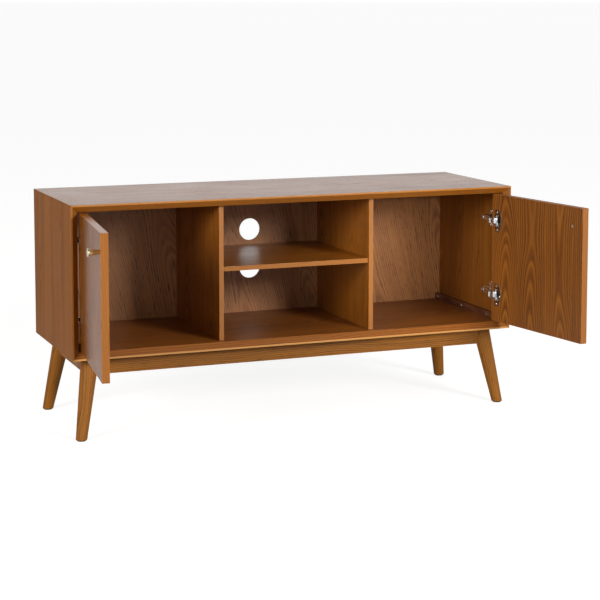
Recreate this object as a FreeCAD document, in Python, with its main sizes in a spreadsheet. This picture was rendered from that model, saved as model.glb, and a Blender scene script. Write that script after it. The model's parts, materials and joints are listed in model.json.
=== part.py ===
import FreeCAD, Part

import math
import os

import Sketcher

# Low media cabinet on a splayed base: a mitred box with a bevelled front rim, two dividers, a
# shelf on pins, two inset doors on concealed cup hinges and four tapered legs joined by aprons.
# Frame: origin on the floor under the middle of the box, +X to the right, -Y to the front, +Z up.
# Each piece is made at rest, where both doors stand open. What comes in pairs is made for the
# left and mirrored for the right.

DIMENSIONS = {
    # box
    "total_width": 1200, "total_depth": 400, "total_height": 588, "box_floor": 204, "panel": 19,
    "rim_lip": 4.5, "rim_bevel_depth": 14, "rebate_width": 9, "rebate_depth": 8,
    "back_panel": 6, "back_gap": 0.5, "cable_radius": 30, "upper_cable_height": 452,
    "lower_cable_height": 346.5, "back_screw_inset": 4.5,
    # dividers, shelf and cleats
    "divider": 12, "divider_centre": 206, "divider_setback": 29, "pin_hole_radius": 2.5,
    "pin_hole_depth": 8, "pin_pitch": 32, "pin_height": 399, "pin_front": 69, "pin_rear": 320,
    "pin_clearance": 0.05, "pin_spoon": 1.5, "pin_spoon_half": 4, "pin_neck_half": 1.8,
    "pin_reach": 8, "shelf": 12, "shelf_gap": 1, "shelf_setback": 33,
    "cleat_thick": 14, "cleat_height": 17, "cleat_setback": 34,
    "dowel_radius": 3, "dowel_length": 20,
    # base
    "leg_top_x": 541.5, "leg_top_y": 143, "leg_top_radius": 23, "foot_x": 575.5, "foot_y": 179,
    "foot_radius": 14.3, "glide": 3, "glide_radius": 11, "apron": 18, "apron_height": 45,
    "front_apron_y": 159, "front_apron_half": 534, "side_apron_x": 556, "side_apron_half": 138,
    "apron_dowel_radius": 4, "apron_dowel_start": 510, "apron_dowel_end": 541,
    "bracket_reach": 45, "bracket_flange": 14, "bracket_thick": 2, "bracket_low": 166,
    "bracket_high": 198, "bolt_radius": 3, "bolt_length": 44, "nut_radius": 5.8, "nut_height": 5,
    # doors and knobs
    "door_width": 378, "door_height": 342, "door_thick": 18, "door_setback": 10, "door_side": 2.5,
    "door_foot": 2, "pivot_inset": 8, "pivot_behind": 5, "left_open": 96.9, "right_open": 98.5,
    "knob_inset": 41, "knob_height": 518.5, "knob_length": 24.5, "knob_face_radius": 10,
    "knob_cap": 2.4, "knob_edge": 0.7, "knob_shoulder_radius": 8.9, "knob_waist_radius": 7.3,
    "knob_neck_radius": 5, "knob_screw_reach": 10,
    # concealed hinges
    "upper_hinge": 495.5, "lower_hinge": 296.5, "cup_inset": 22.5, "cup_radius": 17.5,
    "cup_depth": 12.5, "cup_wall": 1, "cup_clearance": 0.1, "flange": 1.2, "flange_half": 29.5,
    "flange_start": 13, "bow_radius": 47, "bow_centre": -6.2, "cup_screw_pitch": 48,
    "cup_screw_inset": 21, "plate": 3, "plate_front": 48, "plate_back": 112, "plate_half": 7.5,
    "wing_centre": 70, "wing_width": 14, "wing_half": 24, "plate_screw_pitch": 37,
    "arm_half": 6, "arm_screw_front": 64, "arm_screw_back": 94, "arm_top": 14.6,
    "arm_pin_radius": 1.3, "arm_pin_half": 7, "arm_pin_u": 32.3, "arm_pin_v": 23,
    "link_half": 7.4, "link_thick": 1.4, "link_eye_radius": 2.2, "link_hole_radius": 1.05,
    "cup_pin_radius": 1, "cup_pin_half": 14.7, "cup_pin_s": 14, "cup_pin_n": 14.5,
    # screws
    "head_radius": 3.6, "head": 1.3, "shank_radius": 1.8, "wood_screw": 14, "cleat_screw": 26,
    "apron_screw": 56,
}

os.makedirs("parts", exist_ok=True)
doc = FreeCAD.newDocument("media_cabinet")
sheet = doc.addObject("Spreadsheet::Sheet", "dims")
for row, (alias, number) in enumerate(DIMENSIONS.items(), start=1):
    sheet.set(f"A{row}", alias)
    sheet.set(f"B{row}", str(number))
    sheet.setAlias(f"B{row}", alias)
doc.recompute()


# ---- sizes, each with the expression that gives it ---------------------------------------------

class Size:
    """A length or an angle, kept with the expression over the sheet that gives it."""

    def __init__(self, value, text):
        self.value = value
        self.text = text

    def __add__(self, other):
        return joined(self, "+", other)

    def __sub__(self, other):
        return joined(self, "-", other)

    def __mul__(self, other):
        return joined(self, "*", other)

    def __truediv__(self, other):
        return joined(self, "/", other)

    def __neg__(self):
        return joined(0, "-", self)

    __radd__ = __add__
    __rmul__ = __mul__


def size(value):
    """A plain number as a Size, or the Size itself."""
    return value if isinstance(value, Size) else Size(float(value), repr(float(value)))


def joined(first, sign, second):
    """Two sizes joined by an arithmetic sign."""
    a, b = size(first), size(second)
    results = {"+": a.value + b.value, "-": a.value - b.value, "*": a.value * b.value}
    value = a.value / b.value if sign == "/" else results[sign]
    return Size(value, f"({a.text} {sign} {b.text})")


def dim(alias):
    """The Size in the sheet's cell with this alias."""
    return Size(float(DIMENSIONS[alias]), f"dims.{alias}")


def bind(obj, **properties):
    """Binds each property of obj to a Size."""
    for name, value in properties.items():
        obj.setExpression(name, size(value).text)


def place(obj, x=0, y=0, z=0, turn=None, axis=(0, 0, 1)):
    """Puts obj's own origin at a point, turned about an axis, all bound to the sheet."""
    if turn is not None:
        rotation = FreeCAD.Rotation(FreeCAD.Vector(*axis), size(turn).value)
        obj.Placement = FreeCAD.Placement(FreeCAD.Vector(), rotation)
        obj.setExpression("Placement.Rotation.Angle", size(turn).text)
    for letter, value in zip("xyz", (x, y, z)):
        obj.setExpression(f"Placement.Base.{letter}", size(value).text)
    return obj


# ---- primitives and booleans -------------------------------------------------------------------

LYING = {"x": ((0, 1, 0), 90), "y": ((1, 0, 0), -90), "z": ((0, 0, 1), None)}


def box(name, x, y, z):
    """A block over a (low, high) span along each axis."""
    block = doc.addObject("Part::Box", name)
    bind(block, Length=x[1] - x[0], Width=y[1] - y[0], Height=z[1] - z[0])
    return place(block, x[0], y[0], z[0])


def rod(name, radius, **where):
    """A cylinder. The axis it lies along is given as a (low, high) span, the others as numbers."""
    along = next(axis for axis, value in where.items() if isinstance(value, tuple))
    low, high = where[along]
    cylinder = doc.addObject("Part::Cylinder", name)
    bind(cylinder, Radius=radius, Height=size(high) - low)
    axis, turn = LYING[along]
    return place(cylinder, turn=turn, axis=axis, **{**where, along: low})


def group(name, members):
    """Separate solids kept as one piece."""
    compound = doc.addObject("Part::Compound", name)
    compound.Links = members
    return compound


def fused(name, members):
    fusion = doc.addObject("Part::MultiFuse", name)
    fusion.Shapes = members
    return fusion


def cut(name, base, tools):
    difference = doc.addObject("Part::Cut", name)
    difference.Base = base
    difference.Tool = tools[0] if len(tools) == 1 else group(f"{name}_tools", tools)
    return difference


def mirrored(name, source):
    """The same piece on the other side of its own x = 0 plane."""
    twin = doc.addObject("Part::Mirroring", name)
    twin.Source = source
    twin.Normal = FreeCAD.Vector(1, 0, 0)
    return twin


def screw(name, length, tip_side, **where):
    """A pan-head screw. The axis it lies along is given as the height of the face its head is on,
    in a one-item list. tip_side is +1 or -1, the way the tip points along that axis."""
    along = next(axis for axis, value in where.items() if isinstance(value, list))
    seat = where[along][0]
    tip = seat + length * tip_side
    top = seat - dim("head") * tip_side
    order = 1 if tip_side > 0 else -1
    shank = rod(f"{name}_shank", dim("shank_radius"), **{**where, along: (seat, tip)[::order]})
    head = rod(f"{name}_head", dim("head_radius"), **{**where, along: (top, seat)[::order]})
    return fused(name, [shank, head])


# ---- bodies from sketches ----------------------------------------------------------------------

def new_body(name):
    return doc.addObject("PartDesign::Body", name)


def new_sketch(body, name, plane, offset=0):
    """An empty sketch on one of the body's own origin planes, moved along its normal."""
    sketch = body.newObject("Sketcher::SketchObject", name)
    origin = next(f for f in body.Origin.OriginFeatures if f.Role == f"{plane}_Plane")
    sketch.AttachmentSupport = [(origin, "")]
    sketch.MapMode = "FlatFace"
    sketch.setExpression("AttachmentOffset.Base.z", size(offset).text)
    return sketch


def constrain(sketch, kind, places, value):
    """Adds a dimension to a sketch, bound to the sheet."""
    number = sketch.addConstraint(Sketcher.Constraint(kind, *places, size(value).value))
    sketch.setExpression(f"Constraints[{number}]", size(value).text)


def polygon(sketch, points):
    """A closed outline of straight lines whose corners are all held from the sketch's origin."""
    spots = [FreeCAD.Vector(size(x).value, size(y).value, 0) for x, y in points]
    for here, there in zip(spots, spots[1:] + spots[:1]):
        sketch.addGeometry(Part.LineSegment(here, there), False)
    for i, (x, y) in enumerate(points):
        before = (i - 1) % len(points)
        sketch.addConstraint(Sketcher.Constraint("Coincident", before, 2, i, 1))
        constrain(sketch, "DistanceX", (-1, 1, i, 1), x)
        constrain(sketch, "DistanceY", (-1, 1, i, 1), y)


def circle(sketch, x, y, radius):
    """A circle whose centre is held from the sketch's origin."""
    centre = FreeCAD.Vector(size(x).value, size(y).value, 0)
    number = sketch.addGeometry(Part.Circle(centre, FreeCAD.Vector(0, 0, 1), size(radius).value))
    constrain(sketch, "DistanceX", (-1, 1, number, 3), x)
    constrain(sketch, "DistanceY", (-1, 1, number, 3), y)
    constrain(sketch, "Radius", (number,), radius)


def prism(name, plane, points, low, high):
    """A body with a flat outline, from low to high along its sketch plane's normal."""
    body = new_body(name)
    sketch = new_sketch(body, f"{name}_outline", plane, low)
    polygon(sketch, points)
    pad = body.newObject("PartDesign::Pad", f"{name}_pad")
    pad.Profile = sketch
    bind(pad, Length=size(high) - low)
    return body


def turned(name, points, plane="XZ"):
    """A body turned about its own Z axis from (radius, height) points."""
    body = new_body(name)
    sketch = new_sketch(body, f"{name}_profile", plane)
    polygon(sketch, points)
    revolution = body.newObject("PartDesign::Revolution", f"{name}_turn")
    revolution.Profile = sketch
    revolution.ReferenceAxis = (sketch, ["V_Axis"])
    revolution.Angle = 360
    return body


NODES = []


def piece(label, obj):
    """Marks obj as a piece of the cabinet. Its label names its file."""
    obj.Label = label
    NODES.append(obj)
    return obj


def pair(name, left):
    """Marks a left-hand piece, and its mirror image as the right-hand one."""
    piece(f"left_{name}", left)
    piece(f"right_{name}", mirrored(f"right_{name}", left))
    return left


# ---- box ---------------------------------------------------------------------------------------

HALF_WIDTH = dim("total_width") / 2
FRONT = -dim("total_depth") / 2
REAR = dim("total_depth") / 2
PANEL = dim("panel")
BOX_FLOOR = dim("box_floor")
BOX_HEIGHT = dim("total_height") - BOX_FLOOR
BOX_MIDDLE = BOX_FLOOR + BOX_HEIGHT / 2
INSIDE_HALF = HALF_WIDTH - PANEL
INSIDE_LOW = BOX_FLOOR + PANEL
INSIDE_HIGH = dim("total_height") - PANEL
BACK_FACE = REAR - dim("rebate_depth")
CORNERS = [(-1, -1), (1, -1), (1, 1), (-1, 1)]


def box_panel(label, length, distance, turn):
    """One side of the mitred box, whose outer face is at a distance from the box's middle.
    It is drawn as the top and turned about Y. The front edge has a flat lip and a long inward
    bevel, and the rear edge a rebate for the back panel."""
    inner = distance - PANEL
    body = new_body(label)
    section = new_sketch(body, f"{label}_section", "YZ", -length / 2)
    polygon(section, [
        (FRONT, distance),
        (REAR, distance),
        (REAR, inner + dim("rebate_width")),
        (BACK_FACE, inner + dim("rebate_width")),
        (BACK_FACE, inner),
        (FRONT + dim("rim_bevel_depth"), inner),
        (FRONT, distance - dim("rim_lip")),
    ])
    pad = body.newObject("PartDesign::Pad", f"{label}_pad")
    pad.Profile = section
    bind(pad, Length=length)
    mitres = new_sketch(body, f"{label}_mitres", "XZ", -dim("total_depth"))
    end = length / 2
    outer = [(end + 1, distance + 1), (end + 1, inner - 1), (end - PANEL - 1, inner - 1)]
    polygon(mitres, outer)
    pocket = body.newObject("PartDesign::Pocket", f"{label}_mitre")
    pocket.Profile = mitres
    pocket.Reversed = True
    bind(pocket, Length=dim("total_depth") * 2)
    doc.recompute()
    twin = body.newObject("PartDesign::Mirrored", f"{label}_mitre_twin")
    twin.Originals = [pocket]
    plane = next(f for f in body.Origin.OriginFeatures if f.Role == "YZ_Plane")
    twin.MirrorPlane = (plane, [""])
    body.Tip = twin
    place(body, z=BOX_MIDDLE, turn=turn, axis=(0, 1, 0))
    return piece(label, body)


box_panel("top_panel", dim("total_width"), BOX_HEIGHT / 2, 0)
box_panel("bottom_panel", dim("total_width"), BOX_HEIGHT / 2, 180)
box_panel("left_side_panel", BOX_HEIGHT, HALF_WIDTH, -90)
box_panel("right_side_panel", BOX_HEIGHT, HALF_WIDTH, 90)


def back_panel():
    """A thin panel in the rebates, with two cable holes in the centre bay."""
    spread = dim("rebate_width") - dim("back_gap")
    half = INSIDE_HALF + spread
    thick = (BACK_FACE, BACK_FACE + dim("back_panel"))
    blank = box("back_blank", (-half, half), thick, (INSIDE_LOW - spread, INSIDE_HIGH + spread))
    holes = [rod(f"{level}_cable_hole", dim("cable_radius"), x=0, y=(BACK_FACE - 5, REAR),
                 z=dim(f"{level}_cable_height")) for level in ("upper", "lower")]
    return cut("back", blank, holes)


piece("back_panel", back_panel())


def back_panel_screws():
    """Screws around the back panel's edge and down the dividers."""
    face = [BACK_FACE + dim("back_panel")]
    inset = dim("back_screw_inset")
    rows = [(INSIDE_HALF + inset, BOX_MIDDLE + step * 150) for step in (-1, 0, 1)]
    rows += [(dim("divider_centre"), BOX_MIDDLE + step * 110) for step in (-1, 0, 1)]
    rows += [(x, height) for x in (60, 330, 500)
             for height in (INSIDE_LOW - inset, INSIDE_HIGH + inset)]
    screws = []
    for number, (x, z) in enumerate(rows):
        for side in (-1, 1):
            name = f"back_screw_{number}_{'left' if side < 0 else 'right'}"
            screws.append(screw(name, dim("wood_screw"), -1, x=size(x) * side, y=face, z=z))
    return group("back_screws", screws)


piece("back_panel_screws", back_panel_screws())


# ---- dividers, shelf and cleats ----------------------------------------------------------------

DIVIDER_INNER = dim("divider_centre") - dim("divider") / 2
DIVIDER_OUTER = dim("divider_centre") + dim("divider") / 2
DIVIDER_FRONT = FRONT + dim("divider_setback")
PIN_ROWS = [FRONT + dim("pin_front"), FRONT + dim("pin_rear")]


def left_divider():
    """A divider with two columns of pin holes in the face that looks into the centre bay."""
    board = box("divider_board", (-DIVIDER_OUTER, -DIVIDER_INNER), (DIVIDER_FRONT, BACK_FACE),
                (INSIDE_LOW, INSIDE_HIGH))
    depth = (-DIVIDER_INNER - dim("pin_hole_depth"), -DIVIDER_INNER + 1)
    holes = []
    for column, y in enumerate(PIN_ROWS):
        for step in (-1, 0, 1):
            name = f"pin_hole_{column}_{step + 1}"
            z = dim("pin_height") + dim("pin_pitch") * step
            holes.append(rod(name, dim("pin_hole_radius"), x=depth, y=y, z=z))
    return cut("left_divider", board, holes)


pair("divider", left_divider())

SHELF_FRONT = FRONT + dim("shelf_setback")
SHELF_HALF = DIVIDER_INNER - dim("shelf_gap")
piece("shelf", box("shelf_board", (-SHELF_HALF, SHELF_HALF),
                   (SHELF_FRONT, BACK_FACE - dim("back_gap")),
                   (dim("pin_height"), dim("pin_height") + dim("shelf"))))


def shelf_pins():
    """Spoon pins: a round shank in a divider's hole and a flat spoon under the shelf."""
    top = dim("pin_height")
    flat = (top - dim("pin_spoon"), top)
    radius = dim("pin_hole_radius") - dim("pin_clearance")
    pins = []
    for column, y in enumerate(PIN_ROWS):
        face = -DIVIDER_INNER
        name = f"pin_{column}"
        shank = rod(f"{name}_shank", radius, x=(face - dim("pin_hole_depth") + 0.5, face), y=y, z=top)
        neck = box(f"{name}_neck", (face - 2, face + 2),
                   (y - dim("pin_neck_half"), y + dim("pin_neck_half")), flat)
        spoon = box(f"{name}_spoon", (face + 0.1, face + dim("pin_reach")),
                    (y - dim("pin_spoon_half"), y + dim("pin_spoon_half")), flat)
        left = fused(name, [shank, neck, spoon])
        pins += [left, mirrored(f"{name}_right", left)]
    return group("pins", pins)


piece("shelf_pins", shelf_pins())

CLEAT_FACE = -INSIDE_HALF + dim("cleat_thick")
pair("cleat", box("cleat", (-INSIDE_HALF, CLEAT_FACE), (FRONT + dim("cleat_setback"), BACK_FACE),
                  (INSIDE_LOW, INSIDE_LOW + dim("cleat_height"))))


def cleat_screws():
    """Three screws through each cleat into the side panel."""
    screws = []
    for number, y in enumerate((-130, 22, 174)):
        name = f"cleat_screw_{number}"
        left = screw(name, dim("cleat_screw"), -1, x=[CLEAT_FACE], y=y,
                     z=INSIDE_LOW + dim("cleat_height") / 2)
        screws += [left, mirrored(f"{name}_right", left)]
    return group("cleat_screw_set", screws)


piece("cleat_screws", cleat_screws())


def mitre_dowels():
    """Dowels square across each mitre, three to a corner."""
    half = dim("dowel_length") / 2
    dowels = []
    for corner, (side, level) in enumerate(CORNERS):
        for number, y in enumerate((-140, 0, 140)):
            dowel = doc.addObject("Part::Cylinder", f"mitre_dowel_{corner}_{number}")
            bind(dowel, Radius=dim("dowel_radius"), Height=dim("dowel_length"))
            reach = half * math.sqrt(0.5)
            x = (HALF_WIDTH - PANEL * 0.6) * side
            z = BOX_MIDDLE + (BOX_HEIGHT / 2 - PANEL * 0.6) * level
            dowels.append(place(dowel, x + reach * side * level, y, z - reach,
                                turn=-45 * side * level, axis=(0, 1, 0)))
    return group("mitre_dowel_set", dowels)


piece("mitre_dowels", mitre_dowels())


def divider_dowels():
    """Dowels through the top and bottom panels' inner faces into the divider ends."""
    half = dim("dowel_length") / 2
    dowels = []
    for number, y in enumerate((-140, 10, 160)):
        for end, level in (("low", INSIDE_LOW), ("high", INSIDE_HIGH)):
            name = f"divider_dowel_{end}_{number}"
            left = rod(name, dim("dowel_radius"), x=-dim("divider_centre"), y=y,
                       z=(level - half, level + half))
            dowels += [left, mirrored(f"{name}_right", left)]
    return group("divider_dowel_set", dowels)


piece("divider_dowels", divider_dowels())

# ---- base --------------------------------------------------------------------------------------

SIDES = {"left": -1, "right": 1}
ENDS = {"front": -1, "rear": 1}


def leg(name, side, end):
    """A round leg that tapers and leans outward from the box to its foot."""
    body = new_body(name)
    foot = new_sketch(body, f"{name}_foot", "XY", dim("glide"))
    circle(foot, dim("foot_x") * side, dim("foot_y") * end, dim("foot_radius"))
    top = new_sketch(body, f"{name}_top", "XY", BOX_FLOOR)
    circle(top, dim("leg_top_x") * side, dim("leg_top_y") * end, dim("leg_top_radius"))
    loft = body.newObject("PartDesign::AdditiveLoft", f"{name}_loft")
    loft.Profile = foot
    loft.Sections = [top]
    return body


LEGS = {(side, end): piece(f"{side}_{end}_leg", leg(f"{side}_{end}_leg", SIDES[side], ENDS[end]))
        for side in SIDES for end in ENDS}
piece("leg_glides", group("glides", [
    rod(f"{side}_{end}_glide", dim("glide_radius"), x=dim("foot_x") * SIDES[side],
        y=dim("foot_y") * ENDS[end], z=(0, dim("glide")))
    for side, end in LEGS]))

APRON_SPAN = (BOX_FLOOR - dim("apron_height"), BOX_FLOOR)


def signed(sign, low, high):
    """A span measured outward from the middle, on the side given by sign."""
    return (size(low), size(high)) if sign > 0 else (-size(high), -size(low))


for end, sign in ENDS.items():
    half = dim("front_apron_half")
    thick = signed(sign, dim("front_apron_y") - dim("apron"), dim("front_apron_y"))
    rail = box(f"{end}_rail", (-half, half), thick, APRON_SPAN)
    piece(f"{end}_apron", cut(f"{end}_apron", rail, [LEGS[side, end] for side in SIDES]))
for side, sign in SIDES.items():
    half = dim("side_apron_half")
    thick = signed(sign, dim("side_apron_x") - dim("apron"), dim("side_apron_x"))
    rail = box(f"{side}_rail", thick, (-half, half), APRON_SPAN)
    piece(f"{side}_apron", cut(f"{side}_apron", rail, [LEGS[side, end] for end in ENDS]))

FRONT_APRON_MIDDLE = dim("front_apron_y") - dim("apron") / 2
SIDE_APRON_MIDDLE = dim("side_apron_x") - dim("apron") / 2


def apron_dowels():
    """Two dowels from each apron end into its leg."""
    across = (dim("apron_dowel_start"), dim("apron_dowel_end"))
    along = (110, 140)
    dowels = []
    for side, side_sign in SIDES.items():
        for end, end_sign in ENDS.items():
            for number, z in enumerate((APRON_SPAN[0] + 13, APRON_SPAN[0] + 32)):
                name = f"{side}_{end}_{number}"
                dowels.append(rod(f"{name}_long_dowel", dim("apron_dowel_radius"), z=z,
                                  x=signed(side_sign, *across), y=FRONT_APRON_MIDDLE * end_sign))
                dowels.append(rod(f"{name}_short_dowel", dim("apron_dowel_radius"), z=z + 5,
                                  x=SIDE_APRON_MIDDLE * side_sign, y=signed(end_sign, *along)))
    return group("apron_dowel_set", dowels)


piece("apron_dowels", apron_dowels())


def bracket(name, side, end):
    """A steel plate across an inner corner of the base, with a flange on each apron."""
    corner_x = dim("side_apron_x") - dim("apron")
    corner_y = dim("front_apron_y") - dim("apron")
    near, thick, flange = dim("bracket_reach"), dim("bracket_thick"), dim("bracket_flange")
    outline = [
        (corner_x - near - flange, corner_y),
        (corner_x - near, corner_y),
        (corner_x, corner_y - near),
        (corner_x, corner_y - near - flange),
        (corner_x - thick, corner_y - near - flange),
        (corner_x - thick, corner_y - near - thick * 0.41),
        (corner_x - near - thick * 0.41, corner_y - thick),
        (corner_x - near - flange, corner_y - thick),
    ]
    return prism(name, "XY", [(x * side, y * end) for x, y in outline],
                 dim("bracket_low"), dim("bracket_high"))


piece("corner_brackets", group("brackets", [
    bracket(f"{side}_{end}_bracket", SIDES[side], ENDS[end]) for side, end in LEGS]))


def leg_bolts():
    """A bolt from each leg through its corner bracket, with a nut."""
    bolts = []
    reach = dim("bracket_reach")
    level = (dim("bracket_low") + dim("bracket_high")) / 2
    x = dim("side_apron_x") - dim("apron") - reach / 2
    y = dim("front_apron_y") - dim("apron") - reach / 2
    for (side, end) in LEGS:
        sx, sy = SIDES[side], ENDS[end]
        name = f"{side}_{end}_bolt"
        parts = []
        for part, radius, start, length in (("shank", dim("bolt_radius"), -9, dim("bolt_length")),
                                            ("nut", dim("nut_radius"), -7, dim("nut_height"))):
            bar = doc.addObject("Part::Cylinder", f"{name}_{part}")
            bind(bar, Radius=radius, Height=length)
            shift = size(start) * math.sqrt(0.5)
            parts.append(place(bar, (x + shift) * sx, (y + shift) * sy, level,
                               turn=90, axis=(-sy, sx, 0)))
        bolts.append(fused(name, parts))
    return group("bolts", bolts)


piece("leg_bolts", leg_bolts())


def bracket_screws():
    """A screw through each bracket flange into the apron behind it."""
    reach = dim("bracket_reach") + dim("bracket_flange") / 2
    level = (dim("bracket_low") + dim("bracket_high")) / 2
    face_x = dim("side_apron_x") - dim("apron")
    face_y = dim("front_apron_y") - dim("apron")
    screws = []
    for (side, end) in LEGS:
        sx, sy = SIDES[side], ENDS[end]
        seat_x, seat_y = face_x - dim("bracket_thick"), face_y - dim("bracket_thick")
        screws.append(screw(f"{side}_{end}_side_screw", dim("wood_screw"), sx,
                            x=[seat_x * sx], y=(face_y - reach) * sy, z=level))
        screws.append(screw(f"{side}_{end}_{end}_screw", dim("wood_screw"), sy,
                            x=(face_x - reach) * sx, y=[seat_y * sy], z=level))
    return group("bracket_screw_set", screws)


piece("bracket_screws", bracket_screws())


def apron_screws():
    """Long screws up through the front and rear aprons into the bottom panel."""
    screws = []
    for end, sign in ENDS.items():
        for number, x in enumerate((-400, -133, 133, 400)):
            screws.append(screw(f"{end}_apron_screw_{number}", dim("apron_screw"), 1,
                                x=x, y=FRONT_APRON_MIDDLE * sign, z=[APRON_SPAN[0]]))
    return group("apron_screw_set", screws)


piece("apron_screws", apron_screws())

# ---- concealed hinges: the halves on the side panels ---------------------------------------------
# u is the distance inward from a side panel's inner face, v the distance behind the box's front.

HINGES = {"upper": dim("upper_hinge"), "lower": dim("lower_hinge")}


def across(u):
    return -INSIDE_HALF + u


def behind(v):
    return FRONT + v


def hinge_plates():
    """A base under each arm, with a wing above and below for its screws."""
    plates = []
    thick = (across(0), across(dim("plate")))
    for level, z in HINGES.items():
        base = box(f"{level}_plate_base", thick,
                   (behind(dim("plate_front")), behind(dim("plate_back"))),
                   (z - dim("plate_half"), z + dim("plate_half")))
        half = dim("wing_width") / 2
        wing = box(f"{level}_plate_wing", thick,
                   (behind(dim("wing_centre") - half), behind(dim("wing_centre") + half)),
                   (z - dim("wing_half"), z + dim("wing_half")))
        plates.append(fused(f"{level}_plate", [base, wing]))
    return group("plates", plates)


def plate_screws():
    screws = []
    for level, z in HINGES.items():
        for step in (-1, 1):
            screws.append(screw(f"{level}_plate_screw_{step + 1}", dim("wood_screw"), -1,
                                x=[across(dim("plate"))], y=behind(dim("wing_centre")),
                                z=z + dim("plate_screw_pitch") * 0.5 * step))
    return group("plate_screw_set", screws)


ARM_OUTLINE = [(3, 110), (dim("arm_top"), 104), (15, 60), (19, 50), (33, 36.5), (35, 33), (35, 20),
               (31.5, 19), (30, 21), (29.6, 31), (16, 44), (13, 50), (4, 56), (3, 58)]


def hinge_arms():
    """Cranked arms that reach forward from their plates to the doors."""
    outline = [(across(u), behind(v)) for u, v in ARM_OUTLINE]
    return group("arms", [prism(f"{level}_arm", "XY", outline, z - dim("arm_half"),
                                z + dim("arm_half")) for level, z in HINGES.items()])


def arm_screws():
    """The two adjusting screws of each arm, into its plate."""
    return group("arm_screw_set", [
        screw(f"{level}_arm_{spot}", dim("arm_top") - 1, -1, x=[across(dim("arm_top") + 0.3)],
              y=behind(dim(f"arm_screw_{spot}")), z=z)
        for level, z in HINGES.items() for spot in ("front", "back")])


def arm_pins():
    """The rivet in each arm's nose."""
    half = dim("arm_pin_half")
    return group("arm_pin_set", [
        rod(f"{level}_arm_pin", dim("arm_pin_radius"), x=across(dim("arm_pin_u")),
            y=behind(dim("arm_pin_v")), z=(z - half, z + half)) for level, z in HINGES.items()])


pair("hinge_plates", hinge_plates())
pair("hinge_plate_screws", plate_screws())
pair("hinge_arms", hinge_arms())
pair("hinge_arm_screws", arm_screws())
pair("hinge_arm_pins", arm_pins())

# ---- doors and what turns with them --------------------------------------------------------------
# These are drawn in a door's own frame, with the pivot axis at the origin and the left-hand door
# closed. s is the distance from its hinge edge and n the distance in from its outer face.


def along_door(s):
    return size(s) - dim("pivot_inset")


def into_door(n):
    return size(n) - dim("pivot_behind")


DOOR_BACK = into_door(dim("door_thick"))
DOOR_LOW = INSIDE_LOW + dim("door_foot")
PIVOT_X = INSIDE_HALF - dim("door_side") - dim("pivot_inset")
PIVOT_Y = FRONT + dim("door_setback") + dim("pivot_behind")


def hung(name, drawing):
    """A door's piece on both doors, each turned open about its own pivot axis."""
    left = group(f"left_{name}_hung", [drawing])
    place(left, -PIVOT_X, PIVOT_Y, turn=-dim("left_open"))
    right = mirrored(f"right_{name}_twin", drawing)
    right = group(f"right_{name}_hung", [right])
    place(right, PIVOT_X, PIVOT_Y, turn=dim("right_open"))
    piece(f"left_{name}", left)
    piece(f"right_{name}", right)


def door():
    """A plain slab with two round hinge recesses in its inner face."""
    slab = box("door_slab", (along_door(0), along_door(dim("door_width"))),
               (into_door(0), DOOR_BACK), (DOOR_LOW, DOOR_LOW + dim("door_height")))
    floor = DOOR_BACK - dim("cup_depth") - dim("cup_clearance")
    recesses = [rod(f"{level}_recess", dim("cup_radius") + dim("cup_clearance"),
                    x=along_door(dim("cup_inset")), y=(floor, DOOR_BACK + 5), z=z)
                for level, z in HINGES.items()]
    return cut("door_board", slab, recesses)


def knob():
    """A full cone that widens away from the door to a thin cap with a softened edge."""
    length, face, edge = dim("knob_length"), dim("knob_face_radius"), dim("knob_edge")
    shoulder = length - dim("knob_cap")
    body = turned("knob_cone", [
        (0, 0),
        (dim("knob_neck_radius"), 0),
        (dim("knob_waist_radius"), shoulder / 2),
        (dim("knob_shoulder_radius"), shoulder),
        (face, shoulder),
        (face, length - edge),
        (face - edge, length),
        (0, length),
    ])
    return place(body, along_door(dim("door_width") - dim("knob_inset")), into_door(0),
                 dim("knob_height"), turn=90, axis=(1, 0, 0))


def knob_screw():
    return screw("knob_screw_solid", dim("door_thick") + dim("knob_screw_reach"), -1,
                 x=along_door(dim("door_width") - dim("knob_inset")), y=[DOOR_BACK],
                 z=dim("knob_height"))


def hinge_cups():
    """Pressed cups with a flange on the door's inner face, bowed along its free side."""
    centre = along_door(dim("cup_inset"))
    flange_top = DOOR_BACK + dim("flange")
    cups = []
    for level, z in HINGES.items():
        shell = rod(f"{level}_cup_shell", dim("cup_radius"), x=centre, z=z,
                    y=(DOOR_BACK - dim("cup_depth"), DOOR_BACK))
        band = box(f"{level}_flange_band", (along_door(dim("flange_start")), along_door(45)),
                   (DOOR_BACK, flange_top), (z - dim("flange_half"), z + dim("flange_half")))
        bow = rod(f"{level}_flange_bow", dim("bow_radius"), x=along_door(dim("bow_centre")), z=z,
                  y=(DOOR_BACK - 1, flange_top + 1))
        flange = doc.addObject("Part::Common", f"{level}_flange")
        flange.Base = band
        flange.Tool = bow
        hollow = rod(f"{level}_cup_hollow", dim("cup_radius") - dim("cup_wall"), x=centre, z=z,
                     y=(DOOR_BACK - dim("cup_depth") + dim("cup_wall"), flange_top + 1))
        cups.append(cut(f"{level}_cup", fused(f"{level}_cup_solid", [shell, flange]), [hollow]))
    return group("cups", cups)


def cup_screws():
    return group("cup_screw_set", [
        screw(f"{level}_cup_screw_{step + 1}", dim("wood_screw"), -1,
              x=along_door(dim("cup_screw_inset")), y=[DOOR_BACK + dim("flange")],
              z=z + dim("cup_screw_pitch") * 0.5 * step)
        for level, z in HINGES.items() for step in (-1, 1)])


def cup_pins():
    """The pin across each cup that its link turns on."""
    half = dim("cup_pin_half")
    return group("cup_pin_set", [
        rod(f"{level}_cup_pin", dim("cup_pin_radius"), x=along_door(dim("cup_pin_s")),
            y=into_door(dim("cup_pin_n")), z=(z - half, z + half)) for level, z in HINGES.items()])


LINK_CENTRE_LINE = [(0.8, 22.8), (9.2, 20.4), (13.8, 15.6)]


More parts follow.
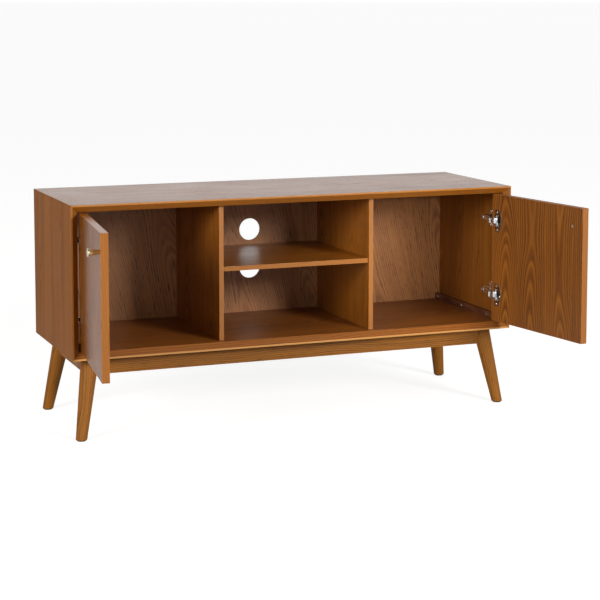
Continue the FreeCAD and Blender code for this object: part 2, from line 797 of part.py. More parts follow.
def band_outline(points, half):
    """The outline of a strip of even thickness along a bent centre line."""
    ahead, back = [], []
    for i, (x, y) in enumerate(points):
        before, after = points[max(i - 1, 0)], points[min(i + 1, len(points) - 1)]
        run, rise = after[0] - before[0], after[1] - before[1]
        reach = math.hypot(run, rise)
        ahead.append((size(x) - half * (rise / reach), size(y) + half * (run / reach)))
        back.append((size(x) + half * (rise / reach), size(y) - half * (run / reach)))
    return ahead + back[::-1]


def hinge_links():
    """Bent plates with an eye that turns on the cup's pin."""
    centre = {"x": along_door(dim("cup_pin_s")), "y": into_door(dim("cup_pin_n"))}
    outline = [(along_door(s), into_door(n))
               for s, n in band_outline(LINK_CENTRE_LINE, dim("link_thick") / 2)]
    links = []
    for level, z in HINGES.items():
        low, high = z - dim("link_half"), z + dim("link_half")
        strip = prism(f"{level}_link_strip", "XY", outline, low, high)
        eye = rod(f"{level}_link_eye", dim("link_eye_radius"), z=(low, high), **centre)
        hole = rod(f"{level}_link_hole", dim("link_hole_radius"), z=(low - 1, high + 1), **centre)
        links.append(cut(f"{level}_link", fused(f"{level}_link_solid", [strip, eye]), [hole]))
    return group("links", links)


hung("door", door())
hung("knob", knob())
hung("knob_screw", knob_screw())
hung("hinge_cups", hinge_cups())
hung("hinge_cup_screws", cup_screws())
hung("hinge_cup_pins", cup_pins())
hung("hinge_links", hinge_links())

# ---- checks and files ----------------------------------------------------------------------------

doc.recompute()
for obj in doc.Objects:
    if {"Invalid", "Error"} & set(obj.State):
        raise RuntimeError(f"{obj.Name} failed: {obj.State}")
for obj in NODES:
    if obj.Shape.isNull() or not obj.Shape.isValid():
        raise RuntimeError(f"{obj.Label} has no valid shape")
    obj.Shape.exportStep(f"parts/{obj.Label}.step")
print(f"{len(NODES)} pieces written")
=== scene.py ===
import json
import math

import bpy
import bmesh
from mathutils import Matrix, Vector

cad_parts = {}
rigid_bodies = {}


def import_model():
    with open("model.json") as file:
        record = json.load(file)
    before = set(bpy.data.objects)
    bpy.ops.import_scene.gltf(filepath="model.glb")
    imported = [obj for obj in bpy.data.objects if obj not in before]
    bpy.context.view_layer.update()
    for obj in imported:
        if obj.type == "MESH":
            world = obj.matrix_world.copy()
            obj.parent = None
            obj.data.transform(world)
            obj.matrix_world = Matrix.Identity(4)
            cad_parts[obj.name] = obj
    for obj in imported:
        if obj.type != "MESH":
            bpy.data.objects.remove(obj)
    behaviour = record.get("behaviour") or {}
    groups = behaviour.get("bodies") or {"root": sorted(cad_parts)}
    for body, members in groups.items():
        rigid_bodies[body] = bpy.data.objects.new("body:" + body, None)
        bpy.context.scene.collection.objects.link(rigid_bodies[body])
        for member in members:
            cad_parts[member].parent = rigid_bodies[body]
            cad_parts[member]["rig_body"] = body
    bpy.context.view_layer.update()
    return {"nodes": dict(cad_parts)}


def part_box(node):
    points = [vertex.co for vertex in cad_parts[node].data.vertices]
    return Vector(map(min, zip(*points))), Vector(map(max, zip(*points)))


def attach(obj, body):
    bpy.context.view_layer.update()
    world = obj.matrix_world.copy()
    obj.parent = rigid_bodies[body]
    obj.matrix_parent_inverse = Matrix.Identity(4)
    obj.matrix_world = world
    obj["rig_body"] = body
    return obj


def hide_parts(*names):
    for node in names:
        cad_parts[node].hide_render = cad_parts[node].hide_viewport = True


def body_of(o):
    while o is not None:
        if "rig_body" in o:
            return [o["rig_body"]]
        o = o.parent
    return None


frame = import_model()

NODES = frame["nodes"]
MM = 0.001
HIGHLIGHTED_CAP_LENGTH = 2.45 * MM

# ---- node helpers ------------------------------------------------------------------------------


class Tree:
    """Short ways to add nodes to a node tree. A value may be a number, a tuple or a socket."""

    def __init__(self, tree):
        self.tree = tree

    def add(self, kind, inputs=(), **settings):
        node = self.tree.nodes.new(f"ShaderNode{kind}")
        for name, value in settings.items():
            setattr(node, name, value)
        for key, value in dict(inputs).items():
            self.put(node.inputs[key], value)
        return node

    def put(self, socket, value):
        if isinstance(value, bpy.types.NodeSocket):
            self.tree.links.new(value, socket)
        elif isinstance(value, tuple) and len(value) == 3 and socket.type == "RGBA":
            socket.default_value = (*value, 1)
        else:
            socket.default_value = value

    def math(self, operation, *values, clamp=False):
        node = self.add("Math", dict(enumerate(values)), operation=operation, use_clamp=clamp)
        return node.outputs[0]

    def ramp(self, value, low, high, to_low=0.0, to_high=1.0):
        """Remaps value smoothly from low..high to to_low..to_high, clamped."""
        node = self.add("MapRange", {0: value, 1: low, 2: high, 3: to_low, 4: to_high},
                        interpolation_type="SMOOTHSTEP")
        return node.outputs[0]

    def lerp(self, first, second, share):
        """First where share is 0, second where it is 1."""
        return self.math("MULTIPLY_ADD", self.math("SUBTRACT", second, first), share, first)

    def vector(self, x, y, z):
        return self.add("CombineXYZ", {0: x, 1: y, 2: z}).outputs[0]

    def noise(self, vector, scale, detail):
        node = self.add("TexNoise", {"Vector": vector, "Scale": scale, "Detail": detail,
                                     "Roughness": 0.5})
        return node.outputs[0]

    def mix(self, factor, first, second):
        node = self.add("Mix", {0: factor, 6: first, 7: second}, data_type="RGBA")
        return node.outputs[2]


def linear(red, green, blue):
    """A colour given as 0..255 display values, as linear light."""
    def channel(value):
        value /= 255
        return value / 12.92 if value <= 0.04045 else ((value + 0.055) / 1.055) ** 2.4
    return tuple(channel(v) for v in (red, green, blue))


# ---- camera, lights and floor ------------------------------------------------------------------

CAMERA_AT = Vector((-1.6152, -4.3219, 1.0996))
CAMERA_TURN = (math.radians(90 - 6.089), 0, math.radians(-21.346))
CAMERA_LENS = 105.19
CAMERA_SHIFT = -0.2
BACKDROP_WAY = (0.46, 0.88, 0.12)
LAMP_COLOUR = (1, 0.975, 0.94)
FLOOR_SEEN = 0.78
FLOOR_REFLECTED = 0.30


def make_camera():
    data = bpy.data.cameras.new("camera")
    data.lens = CAMERA_LENS
    data.sensor_width = 36
    data.shift_y = CAMERA_SHIFT
    data.clip_end = 200
    camera = bpy.data.objects.new("camera", data)
    camera.location = CAMERA_AT
    camera.rotation_euler = CAMERA_TURN
    bpy.context.scene.collection.objects.link(camera)
    bpy.context.scene.camera = camera


def area_light(name, at, aim, width, height, power):
    data = bpy.data.lights.new(name, "AREA")
    data.shape = "RECTANGLE"
    data.size = width
    data.size_y = height
    data.energy = power
    data.color = LAMP_COLOUR
    light = bpy.data.objects.new(name, data)
    light.location = at
    light.rotation_euler = (Vector(aim) - Vector(at)).to_track_quat("-Z", "Y").to_euler()
    bpy.context.scene.collection.objects.link(light)


def spot_light(name, at, aim, cone, power):
    data = bpy.data.lights.new(name, "SPOT")
    data.energy = power
    data.spot_size = cone
    data.spot_blend = 1
    data.shadow_soft_size = 0.15
    light = bpy.data.objects.new(name, data)
    light.location = at
    light.rotation_euler = (Vector(aim) - Vector(at)).to_track_quat("-Z", "Y").to_euler()
    bpy.context.scene.collection.objects.link(light)


def make_world(around, behind, seen):
    """Studio light: a dim room with a bright backdrop behind the object, seen as plain white."""
    world = bpy.data.worlds.new("studio")
    bpy.context.scene.world = world
    world.use_nodes = True
    t = Tree(world.node_tree)
    background = world.node_tree.nodes["Background"]
    way = t.add("TexCoord").outputs["Generated"]
    toward = t.add("VectorMath", {0: way, 1: BACKDROP_WAY}, operation="DOT_PRODUCT")
    backdrop = t.ramp(toward.outputs["Value"], 0.75, 0.97, around, behind)
    direct = t.add("LightPath").outputs["Is Camera Ray"]
    t.put(background.inputs["Color"], (1, 1, 1))
    t.put(background.inputs["Strength"], t.math("MULTIPLY_ADD", direct, t.math(
        "SUBTRACT", seen, backdrop), backdrop))


make_camera()
make_world(around=0.34, behind=0.95, seen=1.0)
area_light("side_box", (-4.2, -2.6, 1.8), (0, 0, 0.35), 1.8, 1.4, 145)
area_light("front_box", (1.7, -4.3, 1.9), (-0.1, 0, 0.3), 1.2, 1.0, 170)
spot_light("right_bay_spot", (-0.9, -3.6, 1.0), (0.46, 0.19, 0.34), math.radians(8), 320)
spot_light("left_bay_spot", (-1.5, -3.6, 1.0), (-0.28, 0.10, 0.36), math.radians(7), 50)

scene = bpy.context.scene
scene.view_settings.view_transform = "Standard"
scene.view_settings.look = "None"

# ---- materials ---------------------------------------------------------------------------------

X, Y, Z = (1, 0, 0), (0, 1, 0), (0, 0, 1)
ALONG_X = (Y, X, Z)
UPRIGHT_SIDE = (Y, Z, X)
SLANT = math.radians(12)
SLANTED_BACK = ((math.cos(SLANT), 0, math.sin(SLANT)), (-math.sin(SLANT), 0, math.cos(SLANT)), Y)
ALONG_Y = (Z, Y, X)
DOOR_TURN = {"left": math.radians(-96.9), "right": math.radians(98.5)}


def door_axes(side):
    turn = DOOR_TURN[side]
    width = (math.cos(turn), math.sin(turn), 0)
    return (width, Z, (-width[1], width[0], 0))


def make_grain_group():
    """Figure of sliced or sawn ash. P is (across the grain, along it, depth) in metres.

    Solid 0 is veneer: leaves of width Leaf, each with its own nest of pointed arches.
    Solid 1 is a sawn piece: rings about a distant pith, which carry on round its corners.
    Straight is how far the cut is from the middle of the tree, where it has no arches."""
    group = bpy.data.node_groups.new("grain", "ShaderNodeTree")
    face = group.interface
    for name in ("P", "Seed", "Leaf", "Rings", "Straight", "Solid"):
        kind = "Vector" if name == "P" else "Float"
        face.new_socket(name=name, in_out="INPUT", socket_type=f"NodeSocket{kind}")
    for name in ("Line", "Light", "Dash", "Pore", "Tone"):
        face.new_socket(name=name, in_out="OUTPUT", socket_type="NodeSocketFloat")
    t = Tree(group)
    given = group.nodes.new("NodeGroupInput").outputs
    seed = given["Seed"]
    shift = t.math("MULTIPLY", seed, 5.3)
    parts = t.add("SeparateXYZ", {0: given["P"]}).outputs
    across, along, depth = parts[0], parts[1], parts[2]

    place = t.math("ADD", t.math("DIVIDE", across, given["Leaf"]), t.math("MULTIPLY", seed, 0.37))
    leaf = t.math("FLOOR", place)
    in_leaf = t.math("MULTIPLY", t.math("SUBTRACT", t.math("SUBTRACT", place, leaf), 0.5),
                     given["Leaf"])
    chance = t.add("TexWhiteNoise", {"W": t.math("MULTIPLY_ADD", leaf, 3.17, seed)},
                   noise_dimensions="1D")
    luck = t.add("SeparateXYZ", {0: chance.outputs["Color"]}).outputs

    swing = t.noise(t.vector(t.math("MULTIPLY", across, 2.0), t.math("MULTIPLY", along, 2.6),
                             t.math("ADD", shift, leaf)), 1.0, 1.0)
    wobble = t.noise(t.vector(t.math("MULTIPLY", across, 30.0), t.math("MULTIPLY", along, 12.0),
                              shift), 1.0, 2.0)
    lateral = t.math("ADD", in_leaf, given["Straight"])
    for wave, reach in ((swing, 0.05), (wobble, 0.005), (luck[0], 0.03)):
        lateral = t.math("MULTIPLY_ADD", t.math("SUBTRACT", wave, 0.5), reach, lateral)

    roll = t.noise(t.vector(t.math("MULTIPLY", along, 3.1), t.math("MULTIPLY", leaf, 5.1), shift),
                   1.0, 1.0)
    pith = t.math("MULTIPLY_ADD", along, 0.055, 0.018)
    pith = t.math("MULTIPLY_ADD", t.math("SUBTRACT", roll, 0.5), 0.045, pith)
    pith = t.math("MULTIPLY_ADD", depth, given["Solid"], pith)
    radius = t.math("SQRT", t.math("MULTIPLY_ADD", lateral, lateral,
                                   t.math("MULTIPLY", pith, pith)))
    phase = t.math("MULTIPLY", radius, given["Rings"])
    count = t.math("FLOOR", phase)
    within = t.math("SUBTRACT", phase, count)
    ring = t.add("TexWhiteNoise", {"W": t.math("ADD", count, seed)}, noise_dimensions="1D")
    strength = t.math("MULTIPLY_ADD", ring.outputs["Value"], 0.8, 0.3)
    line = t.math("MULTIPLY", t.math("MULTIPLY", t.ramp(within, 0.0, 0.12),
                                     t.ramp(within, 0.14, 0.7, 1.0, 0.0)), strength)
    light = t.math("MULTIPLY", t.math("MULTIPLY", t.ramp(within, 0.55, 0.8),
                                      t.ramp(within, 0.85, 1.0, 1.0, 0.0)), strength)

    follow = t.math("MULTIPLY_ADD", radius, 260.0, t.math("MULTIPLY", across, 620.0))
    dashes = t.noise(t.vector(follow, t.math("MULTIPLY", along, 42.0), shift), 1.0, 1.0)
    dash = t.math("MULTIPLY", t.ramp(dashes, 0.57, 0.68), t.math("MULTIPLY_ADD", line, 0.7, 0.35))
    fine = t.noise(t.vector(t.math("MULTIPLY", across, 1900.0), t.math("MULTIPLY", along, 75.0),
                            t.math("MULTIPLY", depth, 1900.0)), 1.0, 1.0)
    pore = t.math("MULTIPLY", t.ramp(fine, 0.56, 0.66), t.math("MULTIPLY_ADD", line, 0.8, 0.25))
    fibre = t.noise(t.vector(t.math("MULTIPLY", across, 330.0), t.math("MULTIPLY", along, 5.0),
                             t.math("MULTIPLY", depth, 330.0)), 1.0, 2.0)
    band = t.noise(t.vector(t.math("MULTIPLY", radius, 75.0), t.math("MULTIPLY", along, 0.7),
                            shift), 1.0, 1.0)
    cloud = t.noise(t.vector(t.math("MULTIPLY", across, 9.0), t.math("MULTIPLY", along, 1.9),
                             shift), 1.0, 2.0)
    tone = t.math("MULTIPLY", t.math("SUBTRACT", luck[2], 0.5), 0.25)
    for wave, share in ((fibre, 0.7), (band, 0.8), (cloud, 0.8)):
        tone = t.math("MULTIPLY_ADD", t.math("SUBTRACT", wave, 0.5), share, tone)

    result = group.nodes.new("NodeGroupOutput").inputs
    for name, value in (("Line", line), ("Light", light), ("Dash", dash), ("Pore", pore),
                        ("Tone", tone)):
        group.links.new(value, result[name])
    return group


GRAIN = make_grain_group()
RINGS = 190.0  # growth rings to a metre
PORE_DEPTH = 0.35
GRAIN_BUMP = 0.4


def span(node, axis):
    """The lowest and highest place of a CAD node along a direction."""
    places = [vertex.co.dot(Vector(axis)) for vertex in NODES[node].data.vertices]
    return min(places), max(places)


def along_axis(t, vector, axis):
    node = t.add("VectorMath", {0: vector, 1: tuple(axis)}, operation="DOT_PRODUCT")
    return node.outputs["Value"]


def corner_wear(t, node, axes, places):
    """1 along the outer arrises of a panel, where the stain has rubbed thin, in broken runs."""
    gaps = []
    for axis, place in zip(axes, places):
        low, high = span(node, axis)
        gaps.append(t.math("MINIMUM", t.math("SUBTRACT", place, low),
                           t.math("SUBTRACT", high, place)))
    near = t.math("MINIMUM", gaps[0], gaps[1])
    far = t.math("MAXIMUM", gaps[0], gaps[1])
    middle = t.math("MAXIMUM", near, t.math("MINIMUM", far, gaps[2]))
    return t.ramp(middle, 0.0003, 0.0020, 1.0, 0.0)


def wood(node, stain, axes, seed, leaf=0.115, straight=0.0, solid=0.0, line=0.45, light=0.3,
         dash=0.8, tone=0.9, lip=0.22, gloss=0.42, shine=0.5):
    """A stained ash for one node. axes are the directions (across, along, through) the grain."""
    pale, deep, bright = stain
    material = bpy.data.materials.new(f"{node}_wood")
    material.use_nodes = True
    t = Tree(material.node_tree)
    shader = material.node_tree.nodes["Principled BSDF"]
    coordinates = t.add("TexCoord").outputs
    position = coordinates["Object"]
    across, along, depth = places = [along_axis(t, position, axis) for axis in axes]
    facing = [t.math("ABSOLUTE", along_axis(t, coordinates["Normal"], axis)) for axis in axes]
    edge = 0.0
    if not solid:  # the edges of a veneered board have strips of their own, with straight grain
        face = t.math("GREATER_THAN", facing[2], 0.7)
        edge = t.math("SUBTRACT", 1.0, face)
        end = t.math("GREATER_THAN", facing[1], 0.7)
        run = t.lerp(t.lerp(along, across, end), along, face)
        across, along = t.lerp(depth, across, face), run
        leaf = t.lerp(1.7, leaf, face)
        straight = t.lerp(0.16, straight, face)
    grain = t.add("Group", node_tree=GRAIN)
    for key, value in (("P", t.vector(across, along, depth)), ("Seed", seed), ("Leaf", leaf),
                       ("Rings", RINGS), ("Straight", straight), ("Solid", solid)):
        t.put(grain.inputs[key], value)
    out = grain.outputs
    calm = t.math("MULTIPLY_ADD", edge, -0.6, 1.0)
    dark = t.math("MULTIPLY", out["Line"], line)
    for name, share in (("Dash", dash), ("Pore", PORE_DEPTH), ("Tone", tone)):
        dark = t.math("MULTIPLY_ADD", out[name], share, dark)
    dark = t.math("MULTIPLY_ADD", dark, calm, 0.12, clamp=True)
    wear = t.math("MULTIPLY", corner_wear(t, node, axes, places),
                  t.ramp(t.noise(position, 45.0, 3.0), 0.4, 0.62, 0.15, 0.6))
    colour = t.mix(dark, pale, deep)
    # painted highlight: edge strips that face across the grain, such as the carcass panels' front
    # edges and the doors' free edges, are coloured lighter
    front = t.ramp(facing[0], 0.85, 0.97, 0.05, lip)
    lift = t.math("MULTIPLY", t.math("MULTIPLY", out["Light"], light), calm)
    lift = t.math("MULTIPLY_ADD", edge, front, lift)
    colour = t.mix(t.math("MAXIMUM", lift, wear), colour, bright)
    t.put(shader.inputs["Base Color"], colour)
    smear = t.noise(position, 7.0, 3.0)
    rough = t.math("MULTIPLY_ADD", t.math("SUBTRACT", smear, 0.5), 0.12, gloss)
    rough = t.math("MULTIPLY_ADD", dark, 0.08, rough)
    rough = t.math("MULTIPLY_ADD", wear, 0.1, rough)
    t.put(shader.inputs["Roughness"], rough)
    t.put(shader.inputs["IOR"], 1.46)
    t.put(shader.inputs["Specular IOR Level"], shine)
    height = t.math("MULTIPLY_ADD", out["Line"], 0.3, out["Pore"])
    height = t.math("MULTIPLY_ADD", out["Dash"], 0.5, height)
    relief = t.add("Bump", {"Height": height, "Strength": GRAIN_BUMP, "Distance": 0.1 * MM},
                   invert=True)
    t.put(shader.inputs["Normal"], relief.outputs[0])
    return material


def metal(name, colour, rough, tarnish=0.12, seed=0.0):
    """A plated or turned metal with faint tool marks, smudges and small pits."""
    material = bpy.data.materials.new(name)
    material.use_nodes = True
    t = Tree(material.node_tree)
    shader = material.node_tree.nodes["Principled BSDF"]
    shader.inputs["Metallic"].default_value = 1.0
    position = t.add("TexCoord").outputs["Object"]
    moved = t.add("VectorMath", {0: position, 1: (seed, seed * 1.7, seed * 0.6)}).outputs[0]
    smudge = t.noise(moved, 90.0, 3.0)
    fine = t.add("Mapping", {"Vector": moved, "Scale": (900, 900, 900)})
    marks = t.noise(fine.outputs[0], 1.0, 2.0)
    shade = t.ramp(smudge, 0.35, 0.75, 0.0, tarnish)
    dull = tuple(c * 0.35 for c in colour)
    t.put(shader.inputs["Base Color"], t.mix(shade, colour, dull))
    t.put(shader.inputs["Roughness"], t.math(
        "ADD", t.math("MULTIPLY", smudge, 0.12),
        t.math("ADD", t.math("MULTIPLY", marks, 0.08), rough - 0.1)))
    relief = t.add("Bump", {"Height": marks, "Strength": 0.35, "Distance": 0.00003})
    t.put(shader.inputs["Normal"], relief.outputs[0])
    return material


def knob_brass(side):
    """Satin brass with a painted highlight: the cap at the knob's outer end is coloured pale
    cream.
    """
    material = metal(f"{side}_brass", (0.86, 0.68, 0.33), 0.3, tarnish=0.2, seed=7.0)
    t = Tree(material.node_tree)
    shader = material.node_tree.nodes["Principled BSDF"]
    outward = door_axes(side)[2]
    low, high = span(f"{side}_knob", outward)
    door_low = span(f"{side}_door", outward)[0]
    reach = along_axis(t, t.add("TexCoord").outputs["Object"], outward)
    if low < door_low:  # the cap is at the low end
        highlighted_cap = t.math("LESS_THAN", reach, low + HIGHLIGHTED_CAP_LENGTH)
    else:
        highlighted_cap = t.math("GREATER_THAN", reach, high - HIGHLIGHTED_CAP_LENGTH)
    plain = shader.inputs["Base Color"].links[0].from_socket
    # painted highlight: the knob's cap is coloured pale cream in place of a lit brass highlight
    t.put(shader.inputs["Base Color"], t.mix(highlighted_cap, plain, (0.93, 0.88, 0.74)))
    return material


def moulded_plastic(name, pale, deep, rough):
    """A dull moulded plastic: a fine spark texture, faint flow marks and scuffs."""
    material = bpy.data.materials.new(name)
    material.use_nodes = True
    t = Tree(material.node_tree)
    shader = material.node_tree.nodes["Principled BSDF"]
    position = t.add("TexCoord").outputs["Object"]
    flow = t.noise(position, 160.0, 3.0)
    spark = t.noise(position, 2600.0, 2.0)
    scuff = t.ramp(t.noise(position, 620.0, 4.0), 0.58, 0.72)
    shade = t.math("MULTIPLY_ADD", scuff, 0.5, t.math("MULTIPLY", flow, 0.5), clamp=True)
    t.put(shader.inputs["Base Color"], t.mix(shade, deep, pale))
    t.put(shader.inputs["Roughness"], t.math("MULTIPLY_ADD", spark, 0.2, rough - 0.1))
    relief = t.add("Bump", {"Height": spark, "Strength": 0.5, "Distance": 0.00005})
    t.put(shader.inputs["Normal"], relief.outputs[0])
    return material


def plain_floor():
    """A pale matt floor that bounces little light. Emission makes it as bright as a lit studio
    sweep to the camera, and a little brighter to reflections."""
    bpy.ops.mesh.primitive_plane_add(size=400, location=(0, 0, -0.0004))
    floor = bpy.context.active_object
    floor.name = "floor"
    material = bpy.data.materials.new("floor")
    material.use_nodes = True
    t = Tree(material.node_tree)
    shader = material.node_tree.nodes["Principled BSDF"]
    t.put(shader.inputs["Base Color"], (0.42, 0.42, 0.42))
    t.put(shader.inputs["Roughness"], 0.9)
    t.put(shader.inputs["Specular IOR Level"], 0.1)
    t.put(shader.inputs["Emission Color"], (1, 1, 1))
    ray = t.add("LightPath").outputs
    t.put(shader.inputs["Emission Strength"], t.math(
        "MULTIPLY_ADD", ray["Is Camera Ray"], FLOOR_SEEN,
        t.math("MULTIPLY", ray["Is Glossy Ray"], FLOOR_REFLECTED)))
    floor.data.materials.append(material)


plain_floor()

# ---- finishes on the CAD pieces ----------------------------------------------------------------

VENEER = ((0.320, 0.104, 0.009), (0.070, 0.017, 0.002), (0.46, 0.175, 0.024))
SIDE_VENEER = ((0.262, 0.083, 0.005), (0.076, 0.020, 0.002), (0.40, 0.150, 0.020))
BACK_VENEER = ((0.330, 0.130, 0.036), (0.085, 0.027, 0.008), (0.46, 0.21, 0.075))
BOTTOM_VENEER = ((0.280, 0.080, 0.007), (0.075, 0.019, 0.002), (0.55, 0.26, 0.060))
# painted shade: the doors' stain is a darker copy of the carcass veneer
SHADED_DOOR_VENEER = ((0.275, 0.086, 0.008), (0.065, 0.016, 0.002), (0.47, 0.175, 0.022))
SOLID_WOOD = ((0.290, 0.102, 0.006), (0.112, 0.037, 0.003), (0.38, 0.155, 0.018))
# painted shade: the cleats are coloured far darker than the other wood, standing in for the shade
# inside the carcass
SHADED_CLEAT_WOOD = ((0.110, 0.034, 0.014), (0.040, 0.012, 0.006), (0.24, 0.10, 0.04))
DOWEL_WOOD = (linear(205, 170, 125), linear(150, 112, 70), linear(225, 195, 150))
WELD_GAP = 0.000005
SHARP_EDGE = math.radians(35)


def leg_axes(leg):
    """Across, along and through a splayed leg, whose grain runs along its own middle line."""
    low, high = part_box(leg)
    places = [vertex.co for vertex in NODES[leg].data.vertices]
    ends = []
    for level in (low[2], high[2]):
        at_end = [place for place in places if abs(place.z - level) < MM]
        ends.append(sum(at_end, Vector()) / len(at_end))
    along = (ends[1] - ends[0]).normalized()
    across = along.cross(Vector(Y)).normalized()
    return across, along, across.cross(along)


def finish(names, material, width=0.0006):
    """Gives CAD nodes a material and rounds their sharp edges a little."""
    for name in names.split():
        obj = NODES[name]
        obj.data.materials[0] = material
        if width:
            weld = obj.modifiers.new("weld", "WELD")
            weld.merge_threshold = WELD_GAP
            bevel = obj.modifiers.new("soft_edges", "BEVEL")
            bevel.width = width
            bevel.segments = 2
            bevel.limit_method = "ANGLE"
            bevel.angle_limit = SHARP_EDGE
            bevel.harden_normals = True


def veneer(names, stain, axes, **changes):
    for number, name in enumerate(names.split()):
        seed = changes.pop("seed", 1.0) if number == 0 else seed + 1.7
        finish(name, wood(name, stain, axes, seed, **changes))


veneer("top_panel", VENEER, ALONG_X, seed=1.3, leaf=0.21, dash=1.4, lip=0.6, gloss=0.24)
veneer("bottom_panel", BOTTOM_VENEER, ALONG_X, seed=4.1, leaf=0.21, lip=0.9)
veneer("left_side_panel right_side_panel", SIDE_VENEER, UPRIGHT_SIDE, seed=7.7, straight=0.06,
       line=0.22, tone=0.75, dash=0.5, light=0.35, lip=0.35, gloss=0.6, shine=0.35)
veneer("left_divider right_divider", VENEER, UPRIGHT_SIDE, seed=2.9, leaf=0.19)
veneer("shelf", VENEER, ALONG_X, seed=6.4, leaf=0.2, gloss=0.3)
veneer("back_panel", BACK_VENEER, SLANTED_BACK, seed=3.5, leaf=0.2, dash=1.0,
       line=0.3, tone=0.7)
veneer("left_door", SHADED_DOOR_VENEER, door_axes("left"), seed=8.3, dash=0.3, light=0.5, gloss=0.2)
veneer("right_door", SHADED_DOOR_VENEER, door_axes("right"), seed=0.6, dash=0.3, light=0.5, gloss=0.5)
veneer("left_cleat right_cleat", SHADED_CLEAT_WOOD, ALONG_Y, seed=1.9, solid=1.0, leaf=2.0)
veneer("front_apron rear_apron", SOLID_WOOD, (Z, X, Y), seed=2.2, solid=1.0, leaf=3.0,
       straight=0.12, shine=0.3)
veneer("left_apron right_apron", SOLID_WOOD, ALONG_Y, seed=3.8, solid=1.0, leaf=3.0,
       straight=0.12, shine=0.3)
for number, corner in enumerate(("left_front", "right_front", "left_rear", "right_rear")):
    leg = f"{corner}_leg"
    veneer(leg, SOLID_WOOD, leg_axes(leg), seed=4.4 + 1.7 * number, solid=1.0, leaf=3.0,
           straight=0.12, line=0.25, dash=0.5, tone=0.7, gloss=0.55, shine=0.3)
veneer("mitre_dowels divider_dowels apron_dowels", DOWEL_WOOD, (X, Z, Y), seed=5.0, solid=1.0,
       leaf=3.0)
for side in ("left", "right"):
    finish(f"{side}_knob", knob_brass(side), 0.0002)
NICKEL = metal("nickel", (0.72, 0.71, 0.68), 0.2)
BRIGHT_NICKEL = metal("bright_nickel", (0.86, 0.87, 0.88), 0.26, seed=5.0)
ZINC = metal("zinc", (0.66, 0.67, 0.68), 0.32, seed=3.0)
for side in ("left", "right"):
    finish(f"{side}_hinge_plates {side}_hinge_arms {side}_hinge_cups", NICKEL, 0.0003)
    finish(f"{side}_hinge_links", BRIGHT_NICKEL, 0.0003)
    finish(f"{side}_hinge_arm_pins {side}_hinge_cup_pins", BRIGHT_NICKEL, 0)
finish("shelf_pins", NICKEL, 0.0003)
finish("leg_bolts corner_brackets", ZINC, 0.0003)
finish("leg_glides", moulded_plastic("glide_nylon", (0.11, 0.10, 0.09), (0.035, 0.03, 0.026), 0.5),
       0.0004)

# ---- screws ------------------------------------------------------------------------------------
# Their CAD solids are plain, so each is turned again with a thread and a cross recess.

TURN = 24  # sides of a turned screw


def islands(node):
    """The separate solids of a CAD node, each as a list of its vertex places."""
    mesh = bmesh.new()
    mesh.from_mesh(NODES[node].data)
    bmesh.ops.remove_doubles(mesh, verts=mesh.verts, dist=0.001 * MM)
    waiting = list(mesh.verts)
    seen, found = set(), []
    for start in waiting:
        if start in seen:
            continue
        seen.add(start)
        group, front = [], [start]
        while front:
            vertex = front.pop()
            group.append(vertex.co.copy())
            for edge in vertex.link_edges:
                other = edge.other_vert(vertex)
                if other not in seen:
                    seen.add(other)
                    front.append(other)
        found.append(group)
    mesh.free()
    return found


def measure_screw(places, directions):
    """Where a screw's head sits, which way it faces, its radius and height, and the reach."""
    extents = []
    for direction in directions:
        along = [place.dot(direction) for place in places]
        extents.append((max(along) - min(along), direction))
    length, way = max(extents, key=lambda extent: extent[0])
    middle = sum(places, Vector()) / len(places)
    off = [(place - middle - way * (place - middle).dot(way)).length for place in places]
    wide = [place.dot(way) for place, distance in zip(places, off) if distance > 0.8 * max(off)]
    if sum(wide) / len(wide) < middle.dot(way):
        way = -way
        wide = [-height for height in wide]
    under, top = min(wide), max(wide)
    seat = middle + way * (under - middle.dot(way))
    return seat, way, max(off), top - under, length - (top - under)


def ring_of(mesh, radius, height):
    return [mesh.verts.new((radius * math.cos(math.tau * k / TURN),
                            radius * math.sin(math.tau * k / TURN), height)) for k in range(TURN)]


def bridge(mesh, low, high):
    for k in range(len(low)):
        after = (k + 1) % len(low)
        mesh.faces.new((low[k], low[after], high[after], high[k]))


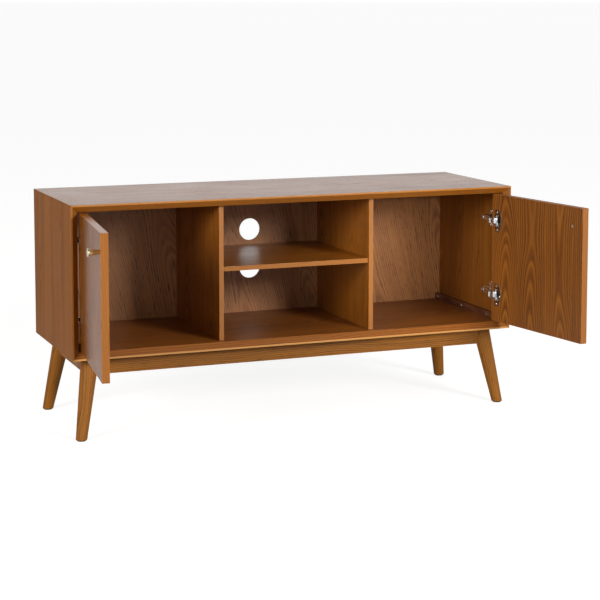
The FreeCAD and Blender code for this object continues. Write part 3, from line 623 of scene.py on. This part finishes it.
def turned_screw(radius, head, reach):
    """A pan-head wood screw about +Z: its head stands on z = 0 and its tip is at -reach."""
    mesh = bmesh.new()
    shank, root = 0.5 * radius, 0.36 * radius
    stations = [(0.05 * radius, -reach)]
    steps = max(4, round((reach - 0.4 * radius) / (0.5 * MM)))
    for step in range(steps):
        height = -reach + (step + 1) * (reach - 0.4 * radius) / (steps + 1)
        taper = min(1.0, (height + reach) / (1.6 * radius))
        stations.append(((shank if step % 2 else root) * taper, height))
    stations += [(shank, -0.3 * radius), (shank, 0.0), (0.96 * radius, 0.0),
                 (radius, 0.12 * head), (radius, 0.4 * head), (0.93 * radius, 0.72 * head),
                 (0.76 * radius, 0.94 * head), (0.6 * radius, head)]
    rings = [ring_of(mesh, *station) for station in stations]
    for low, high in zip(rings, rings[1:]):
        bridge(mesh, low, high)
    mesh.faces.new(reversed(rings[0]))
    arm, half = 0.5 * radius, 0.1 * radius
    quarter = ((arm, -half), (arm, half), (half, half))
    outline = []
    for turn in range(4):
        cosine, sine = round(math.cos(math.pi * turn / 2)), round(math.sin(math.pi * turn / 2))
        outline += [(x * cosine - y * sine, x * sine + y * cosine) for x, y in quarter]
    cross = [mesh.verts.new((x, y, head)) for x, y in outline]
    floor = [mesh.verts.new((0.6 * x, 0.6 * y, 0.35 * head)) for x, y in outline]
    loops = [mesh.edges.get((rings[-1][k], rings[-1][(k + 1) % TURN])) for k in range(TURN)]
    loops += [mesh.edges.new((cross[k], cross[(k + 1) % len(cross)])) for k in range(len(cross))]
    bmesh.ops.triangle_fill(mesh, edges=loops, use_beauty=True, normal=(0, 0, 1))
    bridge(mesh, cross, floor)
    mesh.faces.new(floor)
    bmesh.ops.recalc_face_normals(mesh, faces=mesh.faces)
    return mesh


def turn_screws(node, material, directions=(X, Y, Z)):
    """One piece of detailed screws, in the places of a node's plain ones."""
    mesh = bpy.data.meshes.new(f"{node}_turned")
    whole = bmesh.new()
    for number, places in enumerate(islands(node)):
        seat, way, radius, head, reach = measure_screw(places, [Vector(d) for d in directions])
        part = turned_screw(radius, head, reach)
        stand = Vector((0, 0, 1)).rotation_difference(way).to_matrix().to_4x4()
        spin = Matrix.Rotation(2.4 * number, 4, "Z")
        part.transform(Matrix.Translation(seat) @ stand @ spin)
        spare = bpy.data.meshes.new("spare")
        part.to_mesh(spare)
        part.free()
        whole.from_mesh(spare)
        bpy.data.meshes.remove(spare)
    whole.to_mesh(mesh)
    whole.free()
    piece = bpy.data.objects.new(f"{node}_turned", mesh)
    bpy.context.scene.collection.objects.link(piece)
    mesh.materials.append(material)
    mesh.shade_smooth()
    mesh.set_sharp_from_angle(angle=math.radians(32))
    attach(piece, body_of(NODES[node])[0])
    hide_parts(node)


for node in ("back_panel_screws", "cleat_screws", "bracket_screws", "apron_screws"):
    turn_screws(node, ZINC)
for side in ("left", "right"):
    turn_screws(f"{side}_hinge_arm_screws", BRIGHT_NICKEL)
    turn_screws(f"{side}_hinge_plate_screws", BRIGHT_NICKEL)
    turn_screws(f"{side}_hinge_cup_screws", BRIGHT_NICKEL, [door_axes(side)[2]])
    turn_screws(f"{side}_knob_screw", BRIGHT_NICKEL, [door_axes(side)[2]])
